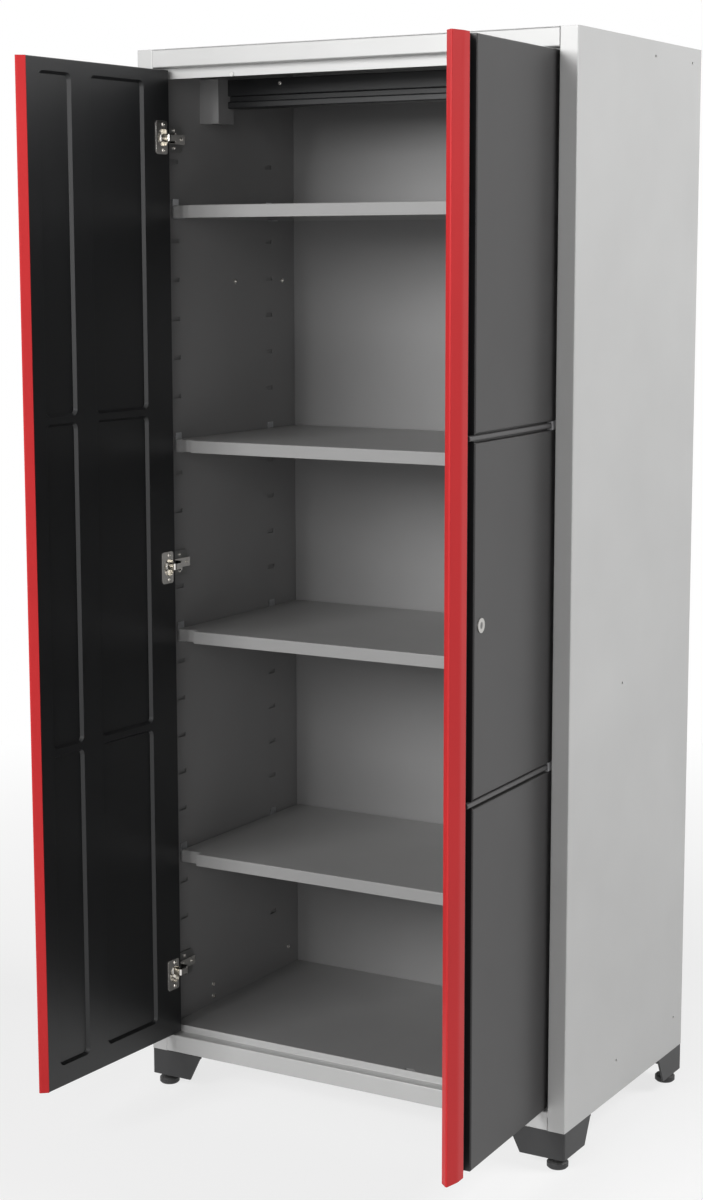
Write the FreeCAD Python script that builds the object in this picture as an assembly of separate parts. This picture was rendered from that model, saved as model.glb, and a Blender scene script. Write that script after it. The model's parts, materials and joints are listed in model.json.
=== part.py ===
import FreeCAD, Part
import math
import os

os.makedirs("parts", exist_ok=True)
vector = FreeCAD.Vector

# Whole carcass, in millimetres.
cabinet_width = 914.0
cabinet_depth = 558.0
carcass_height = 1966.0
carcass_sheet = 1.2
bend_radius = 1.0
sheet_clearance = 0.2

# Front frame round the door opening.
side_flange = 35.0
stop_setback = 25.0
header_face = 34.0
header_lip = 20.0
header_top_flange = 22.0
rail_face = 36.0
rail_lip = 14.0
rail_bottom_flange = 30.0

# Rear, top and floor sheets.
rear_flange = 28.0
back_recess = 53.0
back_edge = 15.0
top_edge = 22.0
floor_side_edge = 30.0
floor_front_edge = 12.0

# Assembly holes in the outer sides.
side_hole_radius = 2.5
side_hole_front = 230.0
side_hole_rear = 45.0
side_hole_upper_front = 336.0
side_hole_lower = 68.0
side_hole_middle = 798.0
side_hole_upper = 27.0

# Cross rail under the top and its box brackets.
cross_rail_setback = 193.0
cross_rail_depth = 40.0
cross_rail_height = 55.0
cross_rail_drop = 45.0
cross_rail_foot = 13.0
cross_rail_groove = 10.0
cross_rail_groove_depth = 8.0
bracket_sheet = 1.5
bracket_width = 43.2
bracket_lead = 34.0
bracket_length = 54.0
bracket_height = 85.0

# Shelves, their slots in the liners and their clips.
shelf_setback = 43.0
shelf_back_gap = 5.0
shelf_edge = 24.0
shelf_return = 14.0
shelf_notch_width = 46.0
shelf_notch_depth = 14.0
shelf_side_gap = 1.2
slot_pitch = 75.0
top_slot_margin = 200.0
first_slot_height = 186.0
slot_length = 24.0
slot_height = 8.0
front_slot_setback = 70.0
rear_slot_inset = 99.0
lower_shelf_rows = (3, 9, 14)
top_shelf_row = 2
shelf_below_slot = 8.0
clip_sheet = 1.5
clip_width = 20.0
clip_ledge = 14.0
clip_hook_drop = 12.0
clip_hook_height = 6.0
clip_head = 4.0

# Corner feet and levelling glides.
foot_height = 52.0
foot_leg_top = 116.0
foot_leg_bottom = 90.0
foot_wall = 4.0
foot_corner_radius = 5.0
boss_radius = 12.0
boss_height = 35.0
glide_showing = 23.0
glide_inset = 24.0
glide_radius = 20.0
glide_height = 14.0
glide_chamfer = 3.0
glide_nut_radius = 9.0
glide_nut_height = 6.0
stem_radius = 5.0
stem_length = 42.0
stem_clearance = 0.05

# Doors, drawn closed and then swung open.
hinge_gap = 3.0
centre_gap = 3.0
door_gap = 4.5
door_face_setback = 0.5
door_thickness = 22.0
door_sheet = 1.0
panel_depth = 11.0
panel_bend = 1.5
middle_panel_pitch = 608.0
panel_groove = 16.0
left_open_angle = 93.0
right_open_angle = 92.2

# Rounded strips that close the grooves between the panels.
strip_width = 9.0
strip_face_setback = 1.0
strip_round = 3.5
strip_end_round = 1.5
strip_base = 1.8
strip_overhang = 17.0
strip_clearance = 0.3

# Pressed fields of the inner pan.
hinge_stile = 76.0
narrow_field = 87.0
middle_rib = 53.0
free_stile = 35.0
pan_top_rail = 23.0
pan_bottom_rail = 40.0
pan_cross_rib = 12.0
field_depth = 6.0
field_slope = 5.0
field_corner = 12.0

# Grip strip and finger channel at the free edge.
grip_width = 56.5
grip_lip = 28.0
grip_lip_thickness = 2.6
grip_tip_depth = 11.0
grip_back = 12.3
grip_wall = 2.0
grip_web_slant = 5.0
grip_arris_radius = 4.0
grip_tip_radius = 3.0
grip_edge_radius = 1.0
finger_gap = 24.0
finger_depth = 13.0
channel_setback = 1.5

# Concealed hinges.
hinge_end_distance = 125.0
pin_inset = 8.0
pin_depth = 7.2
pin_radius = 1.5
pin_length = 21.0
pin_clearance = 0.05
eye_radius = 3.2
cup_inset = 20.0
cup_radius = 17.5
cup_wall = 0.8
cup_floor_depth = 2.8
cup_hole_clearance = 0.2
cup_flange_start = 8.0
cup_flange_width = 34.0
cup_flange_height = 62.0
cup_flange_thickness = 1.2
cup_flange_corner = 5.0
lug_depth = 11.0
lug_clearance = 0.4
arm_thickness = 3.0
arm_bend = 2.0
arm_reach = 20.0
arm_clearance = 8.0
arm_hook_width = 12.0
arm_width = 18.0
arm_length = 62.0
hinge_plate_thickness = 4.0
hinge_plate_height = 50.0
hinge_plate_length = 56.0
hinge_plate_corner = 6.0

# Lock, its crank and the locking rods on the right door.
lock_inset = 26.0
lock_drop = 6.0
lock_bezel_radius = 12.5
lock_bezel_proud = 1.5
lock_body_radius = 9.2
lock_body_length = 20.0
lock_hole_clearance = 0.2
plug_radius = 6.0
plug_recess = 0.2
plug_clearance = 0.05
key_slot_width = 1.6
key_slot_length = 8.0
key_slot_depth = 2.0
crank_gap = 1.5
crank_thickness = 3.0
crank_edge = 5.0
crank_radius = 12.0
crank_turn = 90.0
crank_pin_radius = 3.0
crank_pin_tail = 1.5
rod_gap = 1.5
rod_width = 14.0
rod_thickness = 4.0
rod_eye_wall = 4.5
rod_slot_clearance = 0.6
rod_tip_clearance = 5.0
rod_hole_clearance = 3.0
guide_wall = 3.0
guide_clearance = 0.3
guide_height = 16.0
guide_end_distance = 22.0
guide_lock_distance = 150.0

# Levels and planes that several pieces share. The front plane is y = 0 while drawing.
half_width = cabinet_width / 2
opening_half = half_width - side_flange
liner_half = opening_half + carcass_sheet
skin_half = half_width - carcass_sheet
base_z = foot_height + glide_showing
top_z = base_z + carcass_height
top_skin_z = top_z - carcass_sheet
rail_z = base_z + rail_face
floor_z = rail_z + rail_lip
header_z = top_z - header_face
lip_z = header_z - header_lip
back_y = cabinet_depth - back_recess
floor_front_y = stop_setback + carcass_sheet
rear_slot_setback = back_y - rear_slot_inset
slot_rows = int((carcass_height - first_slot_height - top_slot_margin) / slot_pitch) + 1
shelf_rows = lower_shelf_rows + (slot_rows - top_shelf_row,)

# Door sizes that follow from the opening.
hinge_edge_x = -(opening_half - hinge_gap)
door_width = opening_half - hinge_gap - centre_gap / 2
door_bottom = rail_z + door_gap
door_top = header_z - door_gap
door_middle = (door_bottom + door_top) / 2
door_back_y = door_face_setback + door_thickness
lip_start = door_width - grip_width
pan_width = door_width - grip_back
panel_width = lip_start - finger_gap
lower_seam = door_middle - middle_panel_pitch / 2
upper_seam = door_middle + middle_panel_pitch / 2
field_floor_depth = door_thickness - field_depth
pin_x = hinge_edge_x + pin_inset
pin_y = door_face_setback + pin_depth
hinge_levels = {
    "lower": door_bottom + hinge_end_distance,
    "middle": door_middle,
    "upper": door_top - hinge_end_distance,
}
arm_back_y = door_back_y + arm_clearance + arm_thickness
hinge_plate_face = liner_half - hinge_plate_thickness

# Lock levels. Depths count inwards from the door's outer face.
lock_u = panel_width - lock_inset
lock_z = door_middle - lock_drop
crank_depth = door_thickness + crank_gap
rod_depth = crank_depth + crank_thickness + rod_gap
crank_half_turn = math.radians(crank_turn / 2)
crank_pin_u = crank_radius * math.cos(crank_half_turn)
crank_pin_z = crank_radius * math.sin(crank_half_turn)
rod_offset = (crank_radius + crank_pin_u) / 2


def placed(plane, a, b, c):
    """Point of a drawing plane: a and b lie in it, c is the height above it."""
    if plane == "XY":
        return vector(a, b, c)
    if plane == "YZ":
        return vector(c, a, b)
    return vector(a, c, b)


def left_normal(start, end):
    """Unit normal on the left of the line from start to end."""
    run = (end[0] - start[0], end[1] - start[1])
    length = math.hypot(run[0], run[1])
    return (-run[1] / length, run[0] / length)


def mitred(point, before, after, distance):
    """Point moved by distance off two lines whose left normals are before and after."""
    share = distance / (1 + before[0] * after[0] + before[1] * after[1])
    return (point[0] + (before[0] + after[0]) * share, point[1] + (before[1] + after[1]) * share)


def left_offset(path, distance):
    """Open path moved to its left."""
    normals = [left_normal(path[i], path[i + 1]) for i in range(len(path) - 1)]
    befores = [normals[0]] + normals
    afters = normals + [normals[-1]]
    return [mitred(path[i], befores[i], afters[i], distance) for i in range(len(path))]


def inset(outline, distance):
    """Closed outline, drawn anticlockwise, shrunk by distance."""
    count = len(outline)
    normals = [left_normal(outline[i], outline[(i + 1) % count]) for i in range(count)]
    return [mitred(outline[i], normals[i - 1], normals[i], distance) for i in range(count)]


def outline_wire(points, plane, level, radii=None):
    """Closed wire through points, each corner rounded to its radius where it has one."""
    count = len(points)
    radii = radii or [0.0] * count
    starts = []
    ends = []
    middles = []
    for i in range(count):
        corner = points[i]
        back = left_normal(corner, points[i - 1])
        ahead = left_normal(corner, points[(i + 1) % count])
        to_back = (back[1], -back[0])
        to_ahead = (ahead[1], -ahead[0])
        if radii[i] > 0:
            half = math.acos(to_back[0] * to_ahead[0] + to_back[1] * to_ahead[1]) / 2
            tangent = radii[i] / math.tan(half)
            split = (to_back[0] + to_ahead[0], to_back[1] + to_ahead[1])
            reach = (radii[i] / math.sin(half) - radii[i]) / math.hypot(split[0], split[1])
            starts.append((corner[0] + to_back[0] * tangent, corner[1] + to_back[1] * tangent))
            ends.append((corner[0] + to_ahead[0] * tangent, corner[1] + to_ahead[1] * tangent))
            middles.append((corner[0] + split[0] * reach, corner[1] + split[1] * reach))
        else:
            starts.append(corner)
            ends.append(corner)
            middles.append(None)
    edges = []
    for i in range(count):
        if middles[i]:
            arc = Part.Arc(
                placed(plane, starts[i][0], starts[i][1], level),
                placed(plane, middles[i][0], middles[i][1], level),
                placed(plane, ends[i][0], ends[i][1], level),
            )
            edges.append(arc.toShape())
        following = starts[(i + 1) % count]
        first = placed(plane, ends[i][0], ends[i][1], level)
        second = placed(plane, following[0], following[1], level)
        if first.distanceToPoint(second) > 1e-6:
            edges.append(Part.makeLine(first, second))
    return Part.Wire(edges)


def prism(points, plane, level, length, radii=None):
    """Outline extruded square to its plane."""
    face = Part.Face(outline_wire(points, plane, level, radii))
    return face.extrude(placed(plane, 0, 0, length))


def folded(path, thickness, radius, plane, level, length):
    """Sheet folded along path, lying on the left of it, with rounded bends."""
    inner = left_offset(path, thickness)
    path_radii = [0.0]
    inner_radii = [0.0]
    for i in range(1, len(path) - 1):
        before = left_normal(path[i - 1], path[i])
        after = left_normal(path[i], path[i + 1])
        turns_left = before[0] * after[1] - before[1] * after[0] > 0
        path_radii.append(radius + thickness if turns_left else radius)
        inner_radii.append(radius if turns_left else radius + thickness)
    path_radii.append(0.0)
    inner_radii.append(0.0)
    points = path + inner[::-1]
    return prism(points, plane, level, length, path_radii + inner_radii[::-1])


def block(low_x, high_x, low_y, high_y, low_z, high_z):
    """Box between two corners."""
    corner = vector(low_x, low_y, low_z)
    return Part.makeBox(high_x - low_x, high_y - low_y, high_z - low_z, corner)


def joined(first, others):
    """One clean solid out of pieces that meet."""
    return first.fuse(others).removeSplitter()


def softened(shape, radius, plane, level):
    """Shape with every straight edge that lies at one level of a plane's normal rounded."""
    axis = {"XY": 2, "YZ": 0, "XZ": 1}[plane]
    edges = [
        edge for edge in shape.Edges
        if all(abs(tuple(v.Point)[axis] - level) < 1e-6 for v in edge.Vertexes)
    ]
    return shape.makeFillet(radius, edges)


def mirrored(shape):
    """Shape on the other side of the cabinet's middle plane."""
    return shape.mirror(vector(0, 0, 0), vector(1, 0, 0))


def upright_cylinder(radius, height, x, y, z):
    """Cylinder standing along Z."""
    return Part.makeCylinder(radius, height, vector(x, y, z))


def level_cylinder(radius, start, end, u, z):
    """Cylinder lying along Y between two depths."""
    return Part.makeCylinder(radius, end - start, vector(u, start, z), vector(0, 1, 0))


def side_panel():
    """Left outer side: skin, front flange with its return, rear flange and closed bottom."""
    path = [
        (-half_width + rear_flange, cabinet_depth),
        (-half_width, cabinet_depth),
        (-half_width, 0),
        (-opening_half, 0),
        (-opening_half, stop_setback),
    ]
    skin = folded(path, carcass_sheet, bend_radius, "XY", base_z, carcass_height)
    half_sheet = carcass_sheet / 2
    closing = block(
        -half_width + half_sheet, -opening_half - half_sheet,
        half_sheet, cabinet_depth - half_sheet,
        base_z, base_z + carcass_sheet,
    )
    room_for_top = block(
        -skin_half, -opening_half,
        carcass_sheet + sheet_clearance, stop_setback,
        top_skin_z - sheet_clearance, top_z,
    )
    rear_y = cabinet_depth - side_hole_rear
    hole_places = (
        (side_hole_front, base_z + side_hole_lower),
        (rear_y, base_z + side_hole_lower),
        (side_hole_front, base_z + side_hole_middle),
        (side_hole_upper_front, top_z - side_hole_upper),
        (rear_y, top_z - side_hole_upper),
    )
    holes = [
        Part.makeCylinder(
            side_hole_radius, 2 * carcass_sheet, vector(-half_width, y, z), vector(1, 0, 0),
        )
        for y, z in hole_places
    ]
    return joined(skin, [closing]).cut(room_for_top).cut(holes)


def slot_levels(plate_half):
    """Heights of the slot rows, without those that lie behind a hinge plate."""
    levels = [base_z + first_slot_height + slot_pitch * row for row in range(slot_rows)]
    reach = plate_half + slot_height
    return [z for z in levels if all(abs(z - h) > reach for h in hinge_levels.values())]


def side_liner():
    """Left inner wall with two columns of shelf slots and an outward rear flange."""
    path = [
        (-liner_half, carcass_sheet + bend_radius),
        (-liner_half, back_y),
        (-skin_half + carcass_sheet + bend_radius, back_y),
    ]
    low_z = base_z + carcass_sheet + sheet_clearance
    height = top_skin_z - sheet_clearance - low_z
    wall = folded(path, carcass_sheet, bend_radius, "XY", low_z, height)
    slots = []
    columns = (
        (front_slot_setback, slot_levels(hinge_plate_height / 2)),
        (rear_slot_setback, slot_levels(-slot_height)),
    )
    for column_y, levels in columns:
        for z in levels:
            slots.append(block(
                -liner_half - 2 * carcass_sheet, -liner_half + carcass_sheet,
                column_y - slot_length / 2, column_y + slot_length / 2,
                z - slot_height / 2, z + slot_height / 2,
            ))
    return wall.cut(slots)


def back_panel():
    """Back sheet with its upper and lower edges turned to the rear."""
    low_z = base_z + carcass_sheet + sheet_clearance
    high_z = top_skin_z - sheet_clearance
    path = [
        (back_y + back_edge, high_z),
        (back_y, high_z),
        (back_y, low_z),
        (back_y + back_edge, low_z),
    ]
    half = skin_half - carcass_sheet - bend_radius
    return folded(path, carcass_sheet, bend_radius, "YZ", -half, 2 * half)


def top_panel():
    """Top skin with turned-down side edges, a front tongue over the header and a rear apron."""
    path = [
        (skin_half, top_z - top_edge),
        (skin_half, top_z),
        (-skin_half, top_z),
        (-skin_half, top_z - top_edge),
    ]
    start = carcass_sheet + bend_radius
    end = cabinet_depth - start
    skin = folded(path, carcass_sheet, bend_radius, "XZ", start, end - start)
    front_half = opening_half - sheet_clearance
    tongue = block(-front_half, front_half, 0, start + carcass_sheet, top_skin_z, top_z)
    rear_half = half_width - rear_flange - sheet_clearance
    strap = block(-rear_half, rear_half, end - carcass_sheet, cabinet_depth, top_skin_z, top_z)
    apron = block(
        -rear_half, rear_half, cabinet_depth - carcass_sheet, cabinet_depth,
        top_z - rear_flange, top_z,
    )
    return joined(skin, [tongue, strap, apron])


def header_rail():
    """Header with its face, the ledge above the doors and the hanging door stop."""
    path = [
        (header_top_flange, top_skin_z),
        (0, top_skin_z),
        (0, header_z),
        (stop_setback, header_z),
        (stop_setback, lip_z),
    ]
    half = opening_half - sheet_clearance
    return folded(path, carcass_sheet, bend_radius, "YZ", -half, 2 * half)


def bottom_rail():
    """Bottom rail with the raised door stop, the ledge below the doors, the face and its foot."""
    path = [
        (stop_setback, floor_z),
        (stop_setback, rail_z),
        (0, rail_z),
        (0, base_z),
        (rail_bottom_flange, base_z),
    ]
    half = opening_half - sheet_clearance
    return folded(path, carcass_sheet, bend_radius, "YZ", -half, 2 * half)


def floor_panel():
    """Floor tray behind the lower stop, with the hole that the lower locking rod drops into."""
    end_y = back_y - sheet_clearance
    half = liner_half - sheet_clearance
    path = [
        (end_y, floor_z - floor_side_edge),
        (end_y, floor_z),
        (floor_front_y, floor_z),
        (floor_front_y, floor_z - floor_front_edge),
    ]
    tray = folded(path, carcass_sheet, bend_radius, "YZ", -half, 2 * half)
    edge_start = floor_front_y + 2 * carcass_sheet
    edge_end = end_y - 2 * carcass_sheet
    edge = block(
        -half, -half + carcass_sheet, edge_start, edge_end,
        floor_z - floor_side_edge, floor_z - carcass_sheet / 2,
    )
    rod_x = -(hinge_edge_x + lock_u - rod_offset)
    rod_y = door_face_setback + rod_depth
    reach = rod_width / 2 + rod_hole_clearance
    hole = block(
        rod_x - reach, rod_x + reach,
        floor_front_y + carcass_sheet + sheet_clearance, rod_y + rod_thickness + rod_hole_clearance,
        floor_z - 2 * carcass_sheet, floor_z + carcass_sheet,
    )
    return joined(tray, [edge, mirrored(edge)]).cut(hole)


def cross_rail():
    """Channel under the top with a groove pressed along its front web."""
    front = cross_rail_setback
    back = front + cross_rail_depth
    high_z = top_z - cross_rail_drop
    low_z = high_z - cross_rail_height
    groove_low = low_z + cross_rail_foot
    groove_high = groove_low + cross_rail_groove
    path = [
        (back, high_z),
        (front, high_z),
        (front, groove_high),
        (front + cross_rail_groove_depth, groove_high),
        (front + cross_rail_groove_depth, groove_low),
        (front, groove_low),
        (front, low_z),
        (back, low_z),
    ]
    half = liner_half - bracket_width
    return folded(path, bracket_sheet, bend_radius, "YZ", -half, 2 * half)


def cross_rail_bracket():
    """Left box bracket, open towards the liner that it is fixed to."""
    front = cross_rail_setback - bracket_lead
    high_z = top_z - cross_rail_drop
    low_z = high_z - bracket_height
    inner_x = -liner_half + bracket_width
    outer = block(-liner_half, inner_x, front, front + bracket_length, low_z, high_z)
    hollow = block(
        -liner_half, inner_x - bracket_sheet,
        front + bracket_sheet, front + bracket_length - bracket_sheet,
        low_z + bracket_sheet, high_z - bracket_sheet,
    )
    return outer.cut(hollow)


def shelf(row):
    """Shelf tray with notched front corners and a returned front edge."""
    high_z = base_z + first_slot_height + slot_pitch * row - shelf_below_slot
    low_z = high_z - shelf_edge
    half = liner_half - clip_sheet - shelf_side_gap
    front = shelf_setback
    notch = front + shelf_notch_depth
    back = back_y - shelf_back_gap
    inner = half - shelf_notch_width
    outline = [
        (-inner, front),
        (inner, front),
        (inner, notch),
        (half, notch),
        (half, back),
        (-half, back),
        (-half, notch),
        (-inner, notch),
    ]
    inside_z = high_z - carcass_sheet
    tray = softened(
        prism(outline, "XY", low_z, shelf_edge), bend_radius + carcass_sheet, "XY", high_z,
    )
    hollow = softened(
        prism(inset(outline, carcass_sheet), "XY", low_z, inside_z - low_z), bend_radius, "XY", inside_z,
    )
    lip = block(
        -inner + carcass_sheet / 2, inner - carcass_sheet / 2,
        front + carcass_sheet / 2, front + shelf_return, low_z, low_z + carcass_sheet,
    )
    return joined(tray.cut(hollow), [lip])


def shelf_clip(column_y, row):
    """Left clip: a tongue hooked through a slot, a plate down the wall and a ledge for the shelf."""
    slot_z = base_z + first_slot_height + slot_pitch * row
    ledge_z = slot_z - shelf_below_slot - shelf_edge
    low_y = column_y - clip_width / 2
    high_y = column_y + clip_width / 2
    hook_low = slot_z - slot_height / 2
    hook_x = -liner_half - carcass_sheet - sheet_clearance
    path = [
        (-liner_half + clip_ledge + clip_sheet, ledge_z),
        (-liner_half + clip_sheet, ledge_z),
        (-liner_half + clip_sheet, slot_z + clip_head),
    ]
    body = folded(path, clip_sheet, bend_radius, "XZ", low_y, clip_width)
    bridge = block(
        hook_x - clip_sheet, -liner_half + clip_sheet / 2, low_y, high_y,
        hook_low, hook_low + clip_hook_height,
    )
    tongue = block(
        hook_x - clip_sheet, hook_x, low_y, high_y,
        hook_low - clip_hook_drop, hook_low + clip_hook_height,
    )
    return joined(body, [bridge, tongue])


def shelf_clips():
    """All clips, each a separate solid."""
    clips = []
    for row in shelf_rows:
        for column_y in (front_slot_setback, rear_slot_setback):
            clip = shelf_clip(column_y, row)
            clips.append(clip)
            clips.append(mirrored(clip))
    return Part.makeCompound(clips)


def corner_foot():
    """Front left foot: two tapered legs, a top web and the boss that takes the glide's stem."""
    corner_x = -half_width
    low_z = glide_showing
    front_leg = [
        (corner_x, base_z),
        (corner_x, low_z),
        (corner_x + foot_leg_bottom, low_z),
        (corner_x + foot_leg_top, base_z),
    ]
    side_leg = [
        (0, base_z),
        (0, low_z),
        (foot_leg_bottom, low_z),
        (foot_leg_top, base_z),
    ]
    web = [
        (corner_x, 0),
        (corner_x + foot_leg_top, 0),
        (corner_x + foot_leg_top, foot_wall),
        (corner_x + foot_wall, foot_leg_top),
        (corner_x, foot_leg_top),
    ]
    glide_x = corner_x + glide_inset
    boss = upright_cylinder(boss_radius, boss_height, glide_x, glide_inset, base_z - boss_height)
    bore = upright_cylinder(
        stem_radius + stem_clearance, boss_height, glide_x, glide_inset, base_z - boss_height,
    )
    legs = prism(front_leg, "XZ", 0, foot_wall)
    foot = joined(legs, [
        prism(side_leg, "YZ", corner_x, foot_wall),
        prism(web, "XY", base_z - foot_wall, foot_wall),
        boss,
    ])
    upright = [
        edge for edge in foot.Edges
        if all(abs(v.X - corner_x) + abs(v.Y) < 1e-6 for v in edge.Vertexes)
    ]
    return foot.makeFillet(foot_corner_radius, upright).cut(bore)


def glide():
    """Front left glide: chamfered disc, adjusting collar and stem, turned in one profile."""
    collar_z = glide_height + glide_nut_height
    profile = [
        (0, 0),
        (glide_radius - glide_chamfer, 0),
        (glide_radius, glide_chamfer),
        (glide_radius, glide_height - glide_chamfer),
        (glide_radius - glide_chamfer, glide_height),
        (glide_nut_radius, glide_height),
        (glide_nut_radius, collar_z),
        (stem_radius, collar_z),
        (stem_radius, collar_z + stem_length),
        (0, collar_z + stem_length),
    ]
    face = Part.Face(outline_wire(profile, "XZ", 0))
    turned = face.revolve(vector(0, 0, 0), vector(0, 0, 1), 360)
    turned.translate(vector(-half_width + glide_inset, glide_inset, 0))
    return turned


def to_rear(shape):
    """Front shape turned round to the rear corner of the same side."""
    return shape.mirror(vector(0, cabinet_depth / 2, 0), vector(0, 1, 0))


def field_rectangles():
    """Mouths of the pan's six pressed fields as low u, high u, low z, high z."""
    rib_half = pan_cross_rib / 2
    narrow_end = pan_width - free_stile
    narrow_start = narrow_end - narrow_field
    columns = (
        (hinge_stile, narrow_start - middle_rib),
        (narrow_start, narrow_end),
    )
    rows = (
        (door_bottom + pan_bottom_rail, lower_seam - rib_half),
        (lower_seam + rib_half, upper_seam - rib_half),
        (upper_seam + rib_half, door_top - pan_top_rail),
    )
    return [(u[0], u[1], z[0], z[1]) for u in columns for z in rows]


def tapered_field(rectangle, depths, margins):
    """Loft between two rounded rectangles at two depths, each set in by its margin."""
    low_u, high_u, low_z, high_z = rectangle
    wires = []
    for depth, margin in zip(depths, margins):
        corners = [
            (low_u + margin, low_z + margin),
            (high_u - margin, low_z + margin),
            (high_u - margin, high_z - margin),
            (low_u + margin, high_z - margin),
        ]
        wires.append(outline_wire(corners, "XZ", depth, [field_corner - margin] * 4))
    return Part.makeLoft(wires, True, True)


def door_pan():
    """Inner pan of a door: one pressed sheet with six tapered fields and holes for the cups."""
    back = door_thickness
    wall_slant = door_sheet * math.hypot(field_depth, field_slope) / field_depth
    slope = field_slope / field_depth
    formed = softened(
        block(0, pan_width, panel_depth, back, door_bottom, door_top),
        bend_radius + door_sheet, "XZ", back,
    )
    inside = back - door_sheet
    hollow = softened(
        block(
            door_sheet, pan_width - door_sheet, panel_depth, inside,
            door_bottom + door_sheet, door_top - door_sheet,
        ),
        bend_radius, "XZ", inside,
    )
    for rectangle in field_rectangles():
        pressed = tapered_field(
            rectangle, (back, back - field_depth), (0.0, field_slope),
        )
        behind = tapered_field(
            rectangle,
            (back, back - field_depth - door_sheet),
            (-wall_slant, field_slope + slope * door_sheet - wall_slant),
        )
        formed = formed.cut(pressed)
        hollow = hollow.cut(behind)
    room_for_channel = block(
        panel_width + sheet_clearance, pan_width, panel_depth, finger_depth, door_bottom, door_top,
    )
    pan = formed.cut(hollow).cut(room_for_channel)
    holes = [
        level_cylinder(cup_radius + cup_hole_clearance, panel_depth, back, cup_inset, z)
        for z in hinge_levels.values()
    ]
    return pan.cut(holes)


def front_panel(low_z, high_z):
    """Front panel tray between two heights, with rounded edges turned in all round."""
    start = sheet_clearance
    tray = softened(
        block(start, panel_width, 0, panel_depth, low_z, high_z), panel_bend + door_sheet, "XZ", 0,
    )
    hollow = softened(
        block(
            start + door_sheet, panel_width - door_sheet, door_sheet, panel_depth,
            low_z + door_sheet, high_z - door_sheet,
        ),
        panel_bend, "XZ", door_sheet,
    )
    return tray.cut(hollow)


def seam_strip(seam_z):
    """Strip in one groove: a base between the panels and a rounded bead that ends past them."""
    half = strip_width / 2
    root = panel_depth - strip_base
    start = sheet_clearance
    corners = [
        (strip_face_setback, seam_z - half),
        (root, seam_z - half),
        (root, seam_z + half),
        (strip_face_setback, seam_z + half),
    ]
    end = panel_width + strip_overhang
    bead = prism(corners, "YZ", start, end - start, [strip_round, 0, 0, strip_round])
    base_half = panel_groove / 2 - sheet_clearance
    base = block(
        start, panel_width, root, panel_depth, seam_z - base_half, seam_z + base_half,
    )
    return joined(softened(bead, strip_end_round, "YZ", end), [base])


def seam_strips():
    """Both strips of a door, each a separate solid."""
    return Part.makeCompound([seam_strip(lower_seam), seam_strip(upper_seam)])


def grip_strip():
    """Red grip: a lip to pull, a slanted nose and a hollow back, all one extruded section."""
    arris = lip_start + grip_lip
    web = pan_width + sheet_clearance
    web_foot = web - grip_back + grip_lip_thickness
    web_top = web_foot - grip_web_slant
    inner_edge = door_width - (door_thickness - grip_tip_depth)
    section = [
        (lip_start, 0),
        (arris, 0),
        (door_width, grip_tip_depth),
        (inner_edge, door_thickness),
        (web, door_thickness),
        (web, finger_depth),
        (web_foot, finger_depth),
        (web_top, grip_lip_thickness),
        (lip_start, grip_lip_thickness),
    ]
    radii = [
        grip_edge_radius, grip_arris_radius, grip_tip_radius, 0, 0, 0, 0, grip_edge_radius,
        grip_edge_radius,
    ]
    nose_rise = grip_tip_depth / (door_width - arris)
    chamber = [
        (web_top, (web_top - arris) * nose_rise),
        (door_width, grip_tip_depth),
        (web, grip_tip_depth + door_width - web),
        (web, finger_depth),
        (web_foot, finger_depth),
    ]
    height = door_top - door_bottom
    solid = prism(section, "XY", door_bottom, height, radii)
    return solid.cut(prism(inset(chamber, grip_wall), "XY", door_bottom, height))


def finger_channel():
    """Black channel behind the grip's lip: side wall next to the panels and floor."""
    wall = panel_width + sheet_clearance + door_sheet
    path = [
        (wall, channel_setback),
        (wall, finger_depth),
        (pan_width - door_sheet - sheet_clearance, finger_depth),
    ]
    low_z = door_bottom + door_sheet + sheet_clearance
    high_z = door_top - door_sheet - sheet_clearance
    channel = folded(path, door_sheet, bend_radius, "XY", low_z, high_z - low_z)
    reach = strip_width / 2 + strip_clearance
    notches = [
        block(
            wall - 2 * door_sheet, wall + door_sheet,
            channel_setback, panel_depth - strip_base + strip_clearance,
            seam_z - reach, seam_z + reach,
        )
        for seam_z in (lower_seam, upper_seam)
    ]
    return channel.cut(notches)


def hinge_cup(z):
    """Pressed cup with its flange on the pan and two lugs that hold the pin."""
    back = door_thickness
    floor = cup_floor_depth + cup_wall
    hook_half = arm_hook_width / 2 + lug_clearance
    pot = level_cylinder(cup_radius, cup_floor_depth, back, cup_inset, z)
    room = level_cylinder(cup_radius - cup_wall, floor, back, cup_inset, z)
    mouth = level_cylinder(
        cup_radius - cup_wall, floor, back + cup_flange_thickness, cup_inset, z,
    )
    lugs = []
    for low, high in ((hook_half, cup_radius), (-cup_radius, -hook_half)):
        lug = block(
            pin_inset - eye_radius, pin_inset + eye_radius, floor, lug_depth, z + low, z + high,
        )
        lugs.append(lug.common(room))
    corners = [
        (cup_flange_start, z - cup_flange_height / 2),
        (cup_flange_start + cup_flange_width, z - cup_flange_height / 2),
        (cup_flange_start + cup_flange_width, z + cup_flange_height / 2),
        (cup_flange_start, z + cup_flange_height / 2),
    ]
    flange = prism(corners, "XZ", back, cup_flange_thickness, [cup_flange_corner] * 4)
    shell = joined(pot.cut(room), [flange.cut(mouth)] + lugs)
    pin_hole = upright_cylinder(
        pin_radius + pin_clearance, pin_length, pin_inset, pin_depth, z - pin_length / 2,
    )
    return shell.cut(pin_hole)


def hinge_pins():
    """Hinge pins of one door, each a separate solid."""
    return Part.makeCompound([
        upright_cylinder(pin_radius, pin_length, pin_inset, pin_depth, z - pin_length / 2)
        for z in hinge_levels.values()
    ])


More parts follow.
